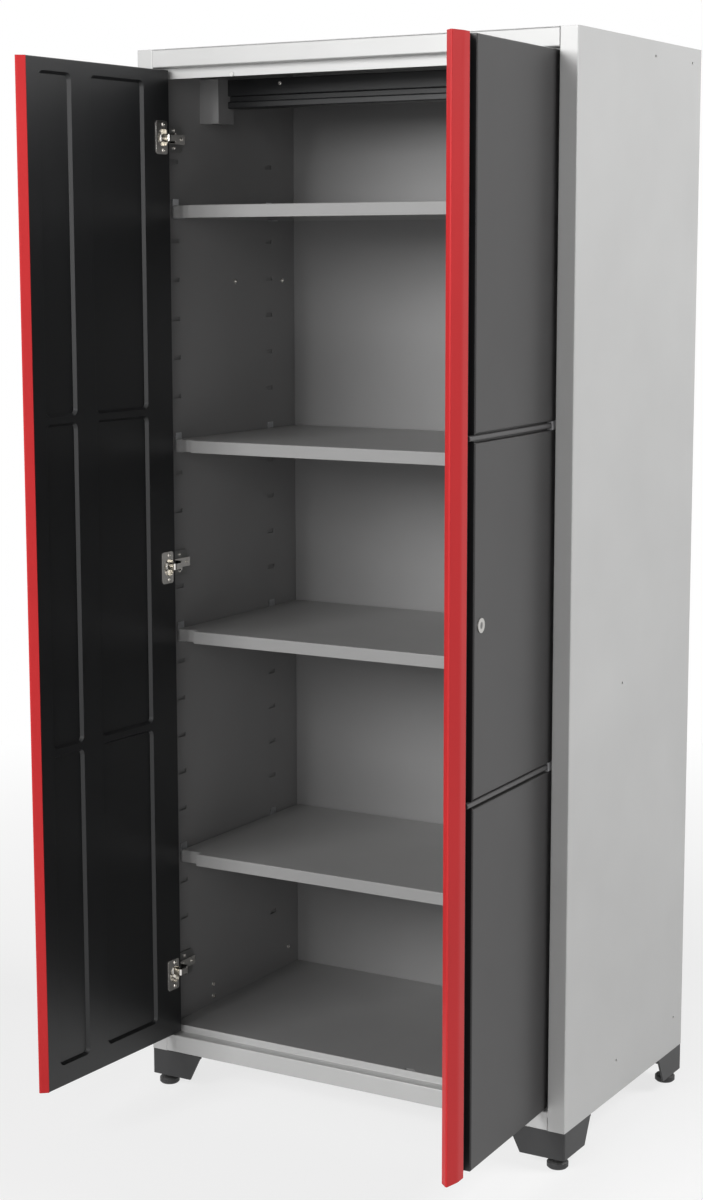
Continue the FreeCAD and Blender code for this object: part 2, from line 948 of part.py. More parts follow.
def hinge_arm(z):
    """Left cranked arm: eye on the pin, hook out of the cup's mouth and foot on the base plate."""
    foot_x = -hinge_plate_face + arm_thickness
    hook_x = pin_x + arm_reach + arm_thickness / 2
    path = [
        (pin_x, pin_y - arm_thickness / 2),
        (hook_x, pin_y - arm_thickness / 2),
        (hook_x, arm_back_y),
        (foot_x, arm_back_y),
        (foot_x, arm_back_y + arm_length),
    ]
    strip = folded(path, arm_thickness, arm_bend, "XY", z - arm_width / 2, arm_width)
    eye = upright_cylinder(eye_radius, arm_hook_width, pin_x, pin_y, z - arm_hook_width / 2)
    trim_z = (arm_width - arm_hook_width) / 2
    trim_end = door_back_y + arm_thickness
    trims = [
        block(pin_x - eye_radius, hook_x, pin_y - eye_radius, trim_end, low, low + trim_z)
        for low in (z - arm_width / 2, z + arm_hook_width / 2)
    ]
    bore = upright_cylinder(
        pin_radius + pin_clearance, arm_hook_width, pin_x, pin_y, z - arm_hook_width / 2,
    )
    return joined(strip.cut(trims), [eye]).cut(bore)


def hinge_plates():
    """Base plates on both liners, each a separate solid."""
    plates = []
    for z in hinge_levels.values():
        corners = [
            (arm_back_y, z - hinge_plate_height / 2),
            (arm_back_y + hinge_plate_length, z - hinge_plate_height / 2),
            (arm_back_y + hinge_plate_length, z + hinge_plate_height / 2),
            (arm_back_y, z + hinge_plate_height / 2),
        ]
        plate = prism(
            corners, "YZ", -liner_half, hinge_plate_thickness, [hinge_plate_corner] * 4,
        )
        plates.append(plate)
        plates.append(mirrored(plate))
    return Part.makeCompound(plates)


def lock_bore():
    """Clearance hole for the lock through panel and pan."""
    radius = lock_body_radius + lock_hole_clearance
    return level_cylinder(radius, 0, door_thickness, lock_u, lock_z)


def lock_housing():
    """Lock body with its bezel, bored for the plug."""
    bezel = level_cylinder(lock_bezel_radius, -lock_bezel_proud, 0, lock_u, lock_z)
    body = level_cylinder(lock_body_radius, 0, lock_body_length, lock_u, lock_z)
    bore = level_cylinder(
        plug_radius + plug_clearance, -lock_bezel_proud, lock_body_length, lock_u, lock_z,
    )
    return joined(bezel, [body]).cut(bore)


def lock_plug():
    """Turning plug with a key slot in its face."""
    face = plug_recess - lock_bezel_proud
    plug = level_cylinder(plug_radius, face, crank_depth, lock_u, lock_z)
    slot = block(
        lock_u - key_slot_width / 2, lock_u + key_slot_width / 2, face, face + key_slot_depth,
        lock_z - key_slot_length / 2, lock_z + key_slot_length / 2,
    )
    return plug.cut(slot)


def lock_crank():
    """Crank plate on the plug's inner end with one pin for each rod, drawn unlocked."""
    end = crank_depth + crank_thickness
    plate = level_cylinder(crank_radius + crank_edge, crank_depth, end, lock_u, lock_z)
    tail = rod_depth + rod_thickness + crank_pin_tail
    pins = [
        level_cylinder(crank_pin_radius, end, tail, lock_u + crank_pin_u, lock_z - crank_pin_z),
        level_cylinder(crank_pin_radius, end, tail, lock_u - crank_pin_u, lock_z + crank_pin_z),
    ]
    return joined(plate, pins)


def lock_rod(direction, tip_z):
    """Locking rod with a cross slot over its crank pin; direction is 1 upwards, -1 downwards."""
    middle = lock_u + direction * rod_offset
    slot_half = crank_pin_radius + rod_slot_clearance
    slot_reach = slot_half + (crank_radius - crank_pin_u) / 2
    eye_reach = slot_reach + rod_eye_wall
    eye_half = slot_half + rod_eye_wall
    pin_level = lock_z - direction * crank_pin_z
    low_z = min(pin_level, tip_z)
    high_z = max(pin_level, tip_z)
    end = rod_depth + rod_thickness
    bar = block(middle - rod_width / 2, middle + rod_width / 2, rod_depth, end, low_z, high_z)
    eye = block(
        middle - eye_reach, middle + eye_reach, rod_depth, end,
        pin_level - eye_half, pin_level + eye_half,
    )
    slot = block(
        middle - slot_reach, middle + slot_reach, rod_depth, end,
        pin_level - slot_half, pin_level + slot_half,
    )
    return joined(bar, [eye]).cut(slot)


def rod_guides():
    """Guide blocks on the pan, each a separate solid with a window for its rod."""
    top_guide = door_top - pan_top_rail - field_slope - guide_end_distance
    bottom_guide = door_bottom + pan_bottom_rail + field_slope + guide_end_distance
    places = (
        (1, top_guide),
        (1, lock_z + guide_lock_distance),
        (-1, lock_z - guide_lock_distance),
        (-1, bottom_guide),
    )
    end = rod_depth + rod_thickness
    guides = []
    for direction, z in places:
        middle = lock_u + direction * rod_offset
        half = rod_width / 2 + guide_clearance
        body = block(
            middle - half - guide_wall, middle + half + guide_wall,
            field_floor_depth, end + guide_clearance + guide_wall,
            z - guide_height / 2, z + guide_height / 2,
        )
        window = block(
            middle - half, middle + half, rod_depth - guide_clearance, end + guide_clearance,
            z - guide_height / 2, z + guide_height / 2,
        )
        guides.append(body.cut(window))
    return Part.makeCompound(guides)


parts = {}
parts["side_panel_left"] = side_panel()
parts["side_liner_left"] = side_liner()
parts["cross_rail_bracket_left"] = cross_rail_bracket()
for level, height in hinge_levels.items():
    parts["left_hinge_arm_" + level] = hinge_arm(height)
parts["foot_front_left"] = corner_foot()
parts["foot_rear_left"] = to_rear(parts["foot_front_left"])
parts["glide_front_left"] = glide()
parts["glide_rear_left"] = to_rear(parts["glide_front_left"])
for name in list(parts):
    parts[name.replace("left", "right")] = mirrored(parts[name])
parts["hinge_plates"] = hinge_plates()
parts["back_panel"] = back_panel()
parts["top_panel"] = top_panel()
parts["header_rail"] = header_rail()
parts["bottom_rail"] = bottom_rail()
parts["floor_panel"] = floor_panel()
parts["cross_rail"] = cross_rail()
for number, row in enumerate(shelf_rows, 1):
    parts["shelf_" + str(number)] = shelf(row)
parts["shelf_clips"] = shelf_clips()

# Pieces of a door, drawn for a closed left door from its hinge edge.
door = {}
door["door_pan"] = door_pan()
door["panel_lower"] = front_panel(door_bottom, lower_seam - panel_groove / 2)
door["panel_middle"] = front_panel(lower_seam + panel_groove / 2, upper_seam - panel_groove / 2)
door["panel_upper"] = front_panel(upper_seam + panel_groove / 2, door_top)
door["seam_strips"] = seam_strips()
door["grip_strip"] = grip_strip()
door["finger_channel"] = finger_channel()
door["hinge_pins"] = hinge_pins()
for level, height in hinge_levels.items():
    door["hinge_cup_" + level] = hinge_cup(height)

left_door = {"left_" + name: shape for name, shape in door.items()}
right_door = {"right_" + name: shape for name, shape in door.items()}
for name in ("right_door_pan", "right_panel_middle"):
    right_door[name] = right_door[name].cut(lock_bore())
right_door["lock_housing"] = lock_housing()
right_door["lock_plug"] = lock_plug()
right_door["lock_crank"] = lock_crank()
right_door["lock_rod_upper"] = lock_rod(1, lip_z - rod_tip_clearance)
right_door["lock_rod_lower"] = lock_rod(-1, floor_z + rod_tip_clearance)
right_door["rod_guides"] = rod_guides()

# Doors go to the opening, and swing open about their hinge pins.
to_opening = vector(hinge_edge_x, door_face_setback, 0)
upward = vector(0, 0, 1)
for name, shape in left_door.items():
    closed = shape.translated(to_opening)
    parts[name] = closed.rotated(vector(pin_x, pin_y, 0), upward, -left_open_angle)
for name, shape in right_door.items():
    closed = mirrored(shape.translated(to_opening))
    parts[name] = closed.rotated(vector(-pin_x, pin_y, 0), upward, right_open_angle)

# The origin is on the floor under the middle of the open cabinet.
reach = min(shape.optimalBoundingBox(False).YMin for shape in parts.values())
origin_shift = vector(0, -(cabinet_depth + reach) / 2, 0)
for name, shape in parts.items():
    shape.translated(origin_shift).exportStep("parts/" + name + ".step")
print("nodes", len(parts), "front plane y", round(origin_shift.y, 4))
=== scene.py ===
import json
import logging
import math
from dataclasses import dataclass
from enum import Enum

import bmesh
import bpy
from mathutils import Matrix, Vector


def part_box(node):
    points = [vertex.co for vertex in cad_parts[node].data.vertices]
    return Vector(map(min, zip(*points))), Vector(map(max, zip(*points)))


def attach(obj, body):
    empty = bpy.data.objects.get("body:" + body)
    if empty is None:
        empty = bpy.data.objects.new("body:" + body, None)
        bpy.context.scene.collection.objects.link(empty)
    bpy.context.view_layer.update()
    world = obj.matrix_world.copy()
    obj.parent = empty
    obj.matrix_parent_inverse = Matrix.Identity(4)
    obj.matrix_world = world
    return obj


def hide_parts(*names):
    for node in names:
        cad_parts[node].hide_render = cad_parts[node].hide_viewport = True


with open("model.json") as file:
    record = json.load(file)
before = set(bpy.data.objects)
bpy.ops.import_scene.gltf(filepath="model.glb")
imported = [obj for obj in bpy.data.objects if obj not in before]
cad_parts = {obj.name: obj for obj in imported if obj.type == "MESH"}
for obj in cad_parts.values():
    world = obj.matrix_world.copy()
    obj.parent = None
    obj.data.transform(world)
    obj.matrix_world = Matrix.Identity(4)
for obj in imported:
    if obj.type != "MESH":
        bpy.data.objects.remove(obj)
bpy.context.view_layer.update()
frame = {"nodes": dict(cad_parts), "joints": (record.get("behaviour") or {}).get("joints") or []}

log = logging.getLogger("tool_cabinet")

Colour = tuple[float, float, float]
Point = tuple[float, float, float]
Span = tuple[float, float]
Outline = tuple[tuple[float, float], ...]

AXIS_X = Vector((1, 0, 0))
AXIS_Y = Vector((0, 1, 0))
AXIS_Z = Vector((0, 0, 1))
WHITE = (1.0, 1.0, 1.0, 1.0)
TINY = 1e-9


class Grain(Enum):
    """Kinds of fine surface texture."""

    POWDER = "powder coat"
    BRUSHED = "brushed metal"
    MOULDED = "moulded plastic"


class Side(Enum):
    """Left and right, as seen from the front; the value is the sign of X."""

    LEFT = -1
    RIGHT = 1

    @property
    def label(self) -> str:
        """Name of the side in lower case."""
        return self.name.lower()


class Level(Enum):
    """Heights that hinges and panels are named by."""

    LOWER = "lower"
    MIDDLE = "middle"
    UPPER = "upper"


class Drive(Enum):
    """Recess in a screw's head."""

    CROSS = "cross"
    NONE = "none"


class Graph:
    """Places and links shader nodes in one node tree."""

    def __init__(self, tree: bpy.types.NodeTree) -> None:
        """Keeps the tree that nodes are added to."""
        self.tree = tree

    def link(self, node: bpy.types.Node, inputs: dict) -> None:
        """Sets a node's inputs.

        Args:
            node: Node of this tree.
            inputs: Values or output sockets, by the input's name or number.
        """
        for key, value in inputs.items():
            if isinstance(value, bpy.types.NodeSocket):
                self.tree.links.new(value, node.inputs[key])
            else:
                node.inputs[key].default_value = value

    def add(self, kind: str, inputs: dict | None = None, **settings: object) -> bpy.types.Node:
        """Adds a node.

        Args:
            kind: Node type, such as ShaderNodeMath.
            inputs: Values or output sockets for the node's inputs, by name or number.
            settings: Properties to set on the node.

        Returns:
            The new node.
        """
        node = self.tree.nodes.new(kind)
        for key, value in settings.items():
            setattr(node, key, value)
        self.link(node, inputs or {})
        return node

    def place(self) -> bpy.types.NodeSocket:
        """Adds the object coordinates."""
        return self.add("ShaderNodeTexCoord").outputs["Object"]

    def noise(
        self, place: bpy.types.NodeSocket, scale: object, detail: float, distortion: float = 0.0,
    ) -> bpy.types.NodeSocket:
        """Adds a noise texture.

        Args:
            place: Coordinates.
            scale: Number or socket.
            detail: Octaves of finer noise.
            distortion: Amount that the noise is warped by.

        Returns:
            The noise value's socket.
        """
        node = self.add(
            "ShaderNodeTexNoise",
            {"Vector": place, "Scale": scale, "Detail": detail, "Distortion": distortion},
        )
        return node.outputs[0]

    def seen(self) -> bpy.types.NodeSocket:
        """Adds a mask of the rays that show the studio: camera, gloss and transmission.

        Returns:
            The mask's socket.
        """
        path = self.add("ShaderNodeLightPath").outputs
        mask = self.math("MAXIMUM", path["Is Camera Ray"], path["Is Glossy Ray"])
        return self.math("MAXIMUM", mask, path["Is Transmission Ray"])

    def math(self, operation: str, *values: object) -> bpy.types.NodeSocket:
        """Adds a Math node.

        Args:
            operation: The operation's name.
            values: Numbers or output sockets, in input order.

        Returns:
            The node's output socket.
        """
        node = self.add("ShaderNodeMath", dict(enumerate(values)), operation=operation)
        return node.outputs[0]

    def mix(self, factor: object, first: object, second: object) -> bpy.types.NodeSocket:
        """Adds a colour mix.

        Args:
            factor: Share of the second colour.
            first: First colour or socket.
            second: Second colour or socket.

        Returns:
            The mixed colour's socket.
        """
        node = self.add("ShaderNodeMix", {0: factor, 6: first, 7: second}, data_type="RGBA")
        return node.outputs[2]

    def ramp(self, value: object, span: Span, to: Span = (0.0, 1.0)) -> bpy.types.NodeSocket:
        """Adds a clamped Map Range.

        Args:
            value: Number or socket to map.
            span: The input's ends.
            to: Outputs at those ends.

        Returns:
            The mapped value's socket.
        """
        node = self.add("ShaderNodeMapRange", dict(enumerate((value, *span, *to))))
        return node.outputs[0]


@dataclass
class EffectGroups:
    """Shader node groups that the finishes share, each built once."""

    wave_scale: float = 2.2
    brush_stretch: Point = (1.0, 1.0, 0.05)
    bevel_samples: int = 4
    edge_facing: Span = (0.97, 0.75)
    wear_patches: Span = (0.42, 0.62)
    marks_middle: float = 0.5
    marks_warp: float = 0.6
    dust_scale: float = 7.0
    dust_facing: Span = (0.6, 0.95)
    dust_patches: Span = (0.35, 0.75)
    dust_cover: Span = (0.2, 1.0)

    def __post_init__(self) -> None:
        """Builds all groups."""
        self.powder = self._powder()
        self.brushed = self._brushed()
        self.edges = self._edges()
        self.handling = self._handling()
        self.dust = self._dust()

    def _new(
        self, name: str, inputs: dict[str, float], outputs: dict[str, str],
    ) -> tuple[Graph, bpy.types.NodeOutputs, bpy.types.Node]:
        """Starts a group with named sockets.

        Args:
            name: Group name.
            inputs: Float inputs with their defaults.
            outputs: Outputs with their socket types.

        Returns:
            The graph, the sockets with its inputs, and its output node.
        """
        tree = bpy.data.node_groups.new(name, "ShaderNodeTree")
        for label, default in inputs.items():
            socket = tree.interface.new_socket(
                label, in_out="INPUT", socket_type="NodeSocketFloat",
            )
            socket.default_value = default
        for label, kind in outputs.items():
            tree.interface.new_socket(label, in_out="OUTPUT", socket_type=kind)
        graph = Graph(tree)
        return graph, graph.add("NodeGroupInput").outputs, graph.add("NodeGroupOutput")

    def _powder(self) -> bpy.types.NodeTree:
        """Powder coat: fine orange peel, a slow wave of the sheet and a drift of tone.

        Returns:
            The group's tree.
        """
        graph, given, out = self._new(
            "powder_coat",
            {"Grain Scale": 900.0, "Wave": 0.2, "Drift Scale": 3.0},
            {"Height": "NodeSocketFloat", "Drift": "NodeSocketFloat"},
        )
        place = graph.place()
        peel = graph.noise(place, given["Grain Scale"], detail=2.0)
        wave = graph.noise(place, self.wave_scale, detail=1.0)
        drift = graph.noise(place, given["Drift Scale"], detail=3.0)
        lifted = graph.math("MULTIPLY_ADD", wave, given["Wave"], peel)
        graph.link(out, {"Height": lifted, "Drift": drift})
        return graph.tree

    def _brushed(self) -> bpy.types.NodeTree:
        """Brushed metal: noise drawn out along the height.

        Returns:
            The group's tree.
        """
        graph, given, out = self._new(
            "brushed_grain",
            {"Grain Scale": 600.0, "Wave": 0.0, "Drift Scale": 25.0},
            {"Height": "NodeSocketFloat", "Drift": "NodeSocketFloat"},
        )
        place = graph.place()
        drawn = graph.add("ShaderNodeMapping", {"Vector": place, "Scale": self.brush_stretch})
        lines = graph.noise(drawn.outputs[0], given["Grain Scale"], detail=4.0)
        drift = graph.noise(place, given["Drift Scale"], detail=3.0)
        lifted = graph.math("MULTIPLY_ADD", drift, given["Wave"], lines)
        graph.link(out, {"Height": lifted, "Drift": drift})
        return graph.tree

    def _edges(self) -> bpy.types.NodeTree:
        """Softened edges and a broken mask of the wear along them.

        Returns:
            The group's tree.
        """
        graph, given, out = self._new(
            "edge_wear",
            {"Radius": 0.0008, "Breakup": 60.0},
            {"Mask": "NodeSocketFloat", "Normal": "NodeSocketVector"},
        )
        bevel = graph.add(
            "ShaderNodeBevel", {"Radius": given["Radius"]}, samples=self.bevel_samples,
        )
        soft = bevel.outputs[0]
        true = graph.add("ShaderNodeNewGeometry").outputs["Normal"]
        facing = graph.add("ShaderNodeVectorMath", {0: soft, 1: true}, operation="DOT_PRODUCT")
        edge = graph.ramp(facing.outputs["Value"], self.edge_facing)
        broken = graph.noise(graph.place(), given["Breakup"], detail=4.0)
        mask = graph.math("MULTIPLY", edge, graph.ramp(broken, self.wear_patches))
        graph.link(out, {"Mask": mask, "Normal": soft})
        return graph.tree

    def _handling(self) -> bpy.types.NodeTree:
        """Roughness that changes where hands and cloths have been.

        Returns:
            The group's tree.
        """
        graph, given, out = self._new(
            "handling_marks",
            {"Roughness": 0.4, "Amount": 0.1, "Scale": 5.0},
            {"Roughness": "NodeSocketFloat"},
        )
        marks = graph.noise(graph.place(), given["Scale"], 5.0, self.marks_warp)
        swing = graph.math("SUBTRACT", marks, self.marks_middle)
        swing = graph.math("MULTIPLY", swing, given["Amount"])
        graph.link(out, {"Roughness": graph.math("ADD", swing, given["Roughness"])})
        return graph.tree

    def _dust(self) -> bpy.types.NodeTree:
        """Mask of thin dust on faces that look up.

        Returns:
            The group's tree.
        """
        graph, given, out = self._new(
            "settled_dust", {"Amount": 0.1}, {"Mask": "NodeSocketFloat"},
        )
        normal = graph.add("ShaderNodeNewGeometry").outputs["Normal"]
        upward = graph.add("ShaderNodeSeparateXYZ", {0: normal}).outputs["Z"]
        patch = graph.noise(graph.place(), self.dust_scale, detail=6.0)
        flat = graph.ramp(upward, self.dust_facing)
        spread = graph.ramp(patch, self.dust_patches, self.dust_cover)
        mask = graph.math("MULTIPLY", graph.math("MULTIPLY", flat, spread), given["Amount"])
        graph.link(out, {"Mask": mask})
        return graph.tree


@dataclass(frozen=True)
class Finish:
    """One finish: its colour, gloss and texture."""

    name: str
    colour: Colour
    roughness: float
    grain: Grain = Grain.POWDER
    metallic: float = 0.0
    gloss: float = 0.5
    grain_scale: float = 900.0
    bump: float = 0.00002
    wave: float = 4.0
    drift: float = 0.05
    drift_scale: float = 3.0
    drift_range: Span = (0.3, 0.7)
    marks: float = 0.08
    edge_radius: float = 0.0008
    wear: float = 0.25
    wear_colour: Colour = (0.55, 0.55, 0.55)
    dust: float = 0.08
    dust_colour: Colour = (0.45, 0.44, 0.42)

    def material(self, groups: EffectGroups) -> bpy.types.Material:
        """Builds the finish's material.

        Args:
            groups: The shared effects.

        Returns:
            The material.
        """
        material = bpy.data.materials.new(self.name)
        material.use_nodes = True
        material.node_tree.nodes.clear()
        graph = Graph(material.node_tree)
        grain = graph.add(
            "ShaderNodeGroup",
            {"Grain Scale": self.grain_scale, "Wave": self.wave, "Drift Scale": self.drift_scale},
            node_tree=groups.brushed if self.grain is Grain.BRUSHED else groups.powder,
        ).outputs
        edges = graph.add(
            "ShaderNodeGroup", {"Radius": self.edge_radius}, node_tree=groups.edges,
        ).outputs
        dust = graph.add("ShaderNodeGroup", {"Amount": self.dust}, node_tree=groups.dust).outputs
        handling = graph.add(
            "ShaderNodeGroup",
            {"Roughness": self.roughness, "Amount": self.marks},
            node_tree=groups.handling,
        ).outputs
        darker = tuple(c * (1 - self.drift) for c in self.colour) + (1.0,)
        lighter = tuple(min(1.0, c * (1 + self.drift)) for c in self.colour) + (1.0,)
        drifted = graph.mix(graph.ramp(grain["Drift"], self.drift_range), darker, lighter)
        share = graph.math("MULTIPLY", edges["Mask"], self.wear)
        worn = graph.mix(share, drifted, self.wear_colour + (1.0,))
        dusty = graph.mix(dust["Mask"], worn, self.dust_colour + (1.0,))
        bump = graph.add(
            "ShaderNodeBump",
            {"Strength": 1.0, "Distance": self.bump, "Height": grain["Height"],
             "Normal": edges["Normal"]},
        )
        shader = graph.add(
            "ShaderNodeBsdfPrincipled",
            {"Base Color": dusty, "Roughness": handling["Roughness"], "Metallic": self.metallic,
             "Specular IOR Level": self.gloss, "Normal": bump.outputs[0]},
        )
        graph.add("ShaderNodeOutputMaterial", {"Surface": shader.outputs[0]})
        return material


SILVER = Finish(
    "silver_grey_paint", (0.56, 0.56, 0.555), 0.42, metallic=0.15, wear=0.15, dust=0.05,
)
INTERIOR = Finish("interior_grey_paint", (0.27, 0.268, 0.268), 0.48, wear=0.2)
SHELF = Finish(
    "shelf_grey_paint", (0.32, 0.318, 0.316), 0.42, wear=0.35, wear_colour=(0.6, 0.6, 0.6),
)
BLACK = Finish(
    "black_paint", (0.011, 0.0115, 0.0125), 0.36,
    wear=0.12, wear_colour=(0.12, 0.12, 0.13), dust=0.03,
)
PANEL = Finish(
    "panel_dark_grey_paint", (0.019, 0.0178, 0.0182), 0.38,
    wear=0.2, wear_colour=(0.2, 0.19, 0.19),
)
GRIP = Finish(
    "grip_red_paint", (0.60, 0.030, 0.033), 0.42, gloss=0.15,
    wear=0.12, wear_colour=(0.7, 0.3, 0.3), dust=0.02,
)
NICKEL = Finish(
    "bright_nickel", (0.80, 0.78, 0.74), 0.14,
    grain=Grain.BRUSHED, metallic=1.0, grain_scale=500.0,
    bump=0.000004, wave=0.0, drift=0.04, drift_scale=40.0, edge_radius=0.0004, wear=0.0, dust=0.0,
)
PLATE = Finish(
    "hinge_plate_steel", (0.30, 0.30, 0.295), 0.45,
    grain=Grain.BRUSHED, metallic=1.0, grain_scale=400.0,
    bump=0.000006, wave=0.0, drift=0.08, drift_scale=40.0, edge_radius=0.0004, wear=0.0, dust=0.0,
)
LOCK = Finish(
    "lock_satin_nickel", (0.50, 0.49, 0.47), 0.34,
    grain=Grain.BRUSHED, metallic=1.0, grain_scale=500.0,
    bump=0.000004, wave=0.0, drift=0.05, drift_scale=60.0, edge_radius=0.0005, wear=0.0, dust=0.0,
)
PLUG = Finish(
    "lock_plug_steel", (0.28, 0.275, 0.27), 0.40,
    grain=Grain.BRUSHED, metallic=1.0, grain_scale=500.0,
    bump=0.000004, wave=0.0, drift=0.05, drift_scale=60.0, edge_radius=0.0003, wear=0.0, dust=0.0,
)
ZINC = Finish(
    "bright_zinc", (0.66, 0.67, 0.69), 0.32,
    grain=Grain.BRUSHED, metallic=1.0, grain_scale=350.0,
    bump=0.000006, wave=0.0, drift=0.1, drift_scale=60.0, edge_radius=0.0004, wear=0.0, dust=0.02,
)
FOOT = Finish(
    "foot_black_plastic", (0.030, 0.030, 0.031), 0.52, grain=Grain.MOULDED, grain_scale=1500.0,
    bump=0.00004, wave=0.5, drift=0.12, drift_scale=18.0,
    wear=0.3, wear_colour=(0.13, 0.13, 0.13), dust=0.15,
)
STRIP = Finish(
    "strip_grey_plastic", (0.060, 0.058, 0.059), 0.42, grain=Grain.MOULDED, grain_scale=1500.0,
    bump=0.00002, wave=0.5, drift=0.06, wear=0.2, wear_colour=(0.3, 0.3, 0.3),
)
# Pale grey of the seam caps is a painted highlight: it stands in for the light seen at the hinge
# end of each seam groove.
SEAM_CAP_HIGHLIGHT = Finish(
    "cap_pale_plastic", (0.42, 0.42, 0.43), 0.50, grain=Grain.MOULDED, grain_scale=1500.0,
    bump=0.00002, wave=0.5, drift=0.05, wear=0.1,
)
BUMPER = Finish(
    "bumper_white_plastic", (0.72, 0.72, 0.70), 0.45, grain=Grain.MOULDED, grain_scale=1500.0,
    bump=0.00002, wave=0.5, drift=0.04, wear=0.0, dust=0.02,
)
GUIDE = Finish(
    "guide_black_plastic", (0.02, 0.02, 0.021), 0.5, grain=Grain.MOULDED, grain_scale=1500.0,
    bump=0.00003, wave=0.5, drift=0.1, wear=0.2, wear_colour=(0.1, 0.1, 0.1),
)
FINISHES = (
    SILVER, INTERIOR, SHELF, BLACK, PANEL, GRIP, NICKEL, PLATE, LOCK, PLUG, ZINC, FOOT, STRIP,
    SEAM_CAP_HIGHLIGHT, BUMPER, GUIDE,
)


class Workshop:
    """Materials by finish, and the calls that hand pieces to the frame."""

    def __init__(self) -> None:
        """Builds every material once."""
        groups = EffectGroups()
        self.materials = {finish.name: finish.material(groups) for finish in FINISHES}

    def dress(self, node: str, finish: Finish) -> None:
        """Gives a CAD node its material.

        Args:
            node: Node name.
            finish: Finish to use.
        """
        slots = frame["nodes"][node].data.materials
        slots.clear()
        slots.append(self.materials[finish.name])
        log.info("dressed %s in %s", node, finish.name)

    def piece(
        self, name: str, form: bmesh.types.BMesh, body: str, slot: str, finish: Finish,
        node: str | None = None,
    ) -> None:
        """Turns a bmesh into a piece that rides on a body.

        Args:
            name: Piece name.
            form: The mesh, in the row frame; it is freed.
            body: Body to ride on.
            slot: Material slot of the record; not used.
            finish: Finish to use.
            node: CAD node that the piece stands for, if any.
        """
        mesh = bpy.data.meshes.new(name)
        bmesh.ops.recalc_face_normals(form, faces=form.faces)
        form.to_mesh(mesh)
        form.free()
        mesh.materials.append(self.materials[finish.name])
        obj = bpy.data.objects.new(name, mesh)
        bpy.context.scene.collection.objects.link(obj)
        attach(obj, body)
        if node is not None:
            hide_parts(node)
        log.info("built %s on %s", name, body)


def add_rings(form: bmesh.types.BMesh, rings: list[list[Vector]], closed: bool) -> None:
    """Skins rings of points into one solid.

    Args:
        form: Mesh to add to.
        rings: Rings with equal numbers of points, in order.
        closed: True joins the last ring to the first, False caps both ends.
    """
    loops = [[form.verts.new(point) for point in ring] for ring in rings]
    count = len(loops[0])
    pairs = list(zip(loops, loops[1:]))
    if closed:
        pairs.append((loops[-1], loops[0]))
    for low, high in pairs:
        for i in range(count):
            form.faces.new((low[i], low[(i + 1) % count], high[(i + 1) % count], high[i]))
    if not closed:
        form.faces.new(loops[0][::-1])
        form.faces.new(loops[-1])


def turned_rings(
    matrix: Matrix, profile: list[tuple[list[float], float]], angles: list[float],
) -> list[list[Vector]]:
    """Works out rings of points around an axis.

    Args:
        matrix: Where the axis stands.
        profile: For each ring, its radius at every angle, and its height.
        angles: Angles in radians.

    Returns:
        The rings in the row frame.
    """
    return [
        [matrix @ Vector((r * math.cos(a), r * math.sin(a), z)) for r, a in zip(radii, angles)]
        for radii, z in profile
    ]


@dataclass(frozen=True)
class ScrewHead:
    """Domed head of a screw or rivet, with an optional cross recess."""

    radius: float
    height: float
    drive: Drive = Drive.CROSS
    arm_width: float = 0.0005
    arm_length: float = 0.0018
    recess: float = 0.0012
    between_arms: Point = (30.0, 45.0, 60.0)
    dome_steps: tuple[float, ...] = (0.0, 0.35, 0.65, 0.88)
    dome_inset: float = 0.62
    rim_share: float = 0.25

    def _angles(self) -> list[float]:
        """Angles of the rings' points, with the recess's corners among them.

        Returns:
            Angles in radians.
        """
        corner = math.atan2(self.arm_width, self.arm_length)
        steps = (-corner, 0.0, corner, *map(math.radians, self.between_arms))
        return [quarter * math.pi / 2 + step for quarter in range(4) for step in steps]

    def _cross(self, angle: float) -> float:
        """Distance from the centre to the cross outline.

        Args:
            angle: Direction in radians.

        Returns:
            The distance.
        """
        along = max(abs(math.cos(angle)), abs(math.sin(angle)))
        across = min(abs(math.cos(angle)), abs(math.sin(angle)))
        if across / along <= self.arm_width / self.arm_length + TINY:
            return self.arm_length / along
        return self.arm_width / across

    def add_to(self, form: bmesh.types.BMesh, place: Vector, outward: Vector) -> None:
        """Adds one head to a bmesh.

        Args:
            form: Mesh to add to.
            place: Centre of the head's seat.
            outward: Direction that the head faces.
        """
        turn = outward.to_track_quat("Z", "Y").to_matrix().to_4x4()
        matrix = Matrix.Translation(place) @ turn
        angles = self._angles()
        profile = [([self.radius] * len(angles), 0.0)]
        for step in self.dome_steps:
            lift = math.sqrt(1 - (1 - step) ** 2)
            radius = self.radius * (1 - self.dome_inset * step ** 2)
            height = self.height * (self.rim_share + (1 - self.rim_share) * lift)
            profile.append(([radius] * len(angles), height))
        if self.drive is Drive.CROSS:
            cross = [self._cross(angle) for angle in angles]
            profile += [(cross, self.height), (cross, self.height - self.recess)]
        add_rings(form, turned_rings(matrix, profile, angles), closed=False)


@dataclass(frozen=True)
class Extrusion:
    """Straight profile: a closed outline, with or without a hole, drawn out in one direction."""

    outline: Outline
    length: float
    hole: Outline = ()

    def add_to(
        self, form: bmesh.types.BMesh, origin: Vector, across: Vector, up: Vector, along: Vector,
    ) -> None:
        """Adds one length to a bmesh.

        Args:
            form: Mesh to add to.
            origin: Where the outline's origin lies at the start.
            across: Direction of the outline's first number.
            up: Direction of the outline's second number.
            along: Direction that it is drawn out in.
        """
        ends = ([], [])
        for outline in filter(None, (self.outline, self.hole)):
            start = [origin + across * a + up * b for a, b in outline]
            loops = [
                [form.verts.new(point + along * reach) for point in start]
                for reach in (0.0, self.length)
            ]
            corners = list(zip(*loops))
            for (low, high), (next_low, next_high) in zip(corners, corners[1:] + corners[:1]):
                form.faces.new((low, next_low, next_high, high))
            for end, loop in zip(ends, loops):
                end.extend(form.edges.get(pair) for pair in zip(loop, loop[1:] + loop[:1]))
        for end in ends:
            bmesh.ops.triangle_fill(form, edges=end, use_beauty=True)


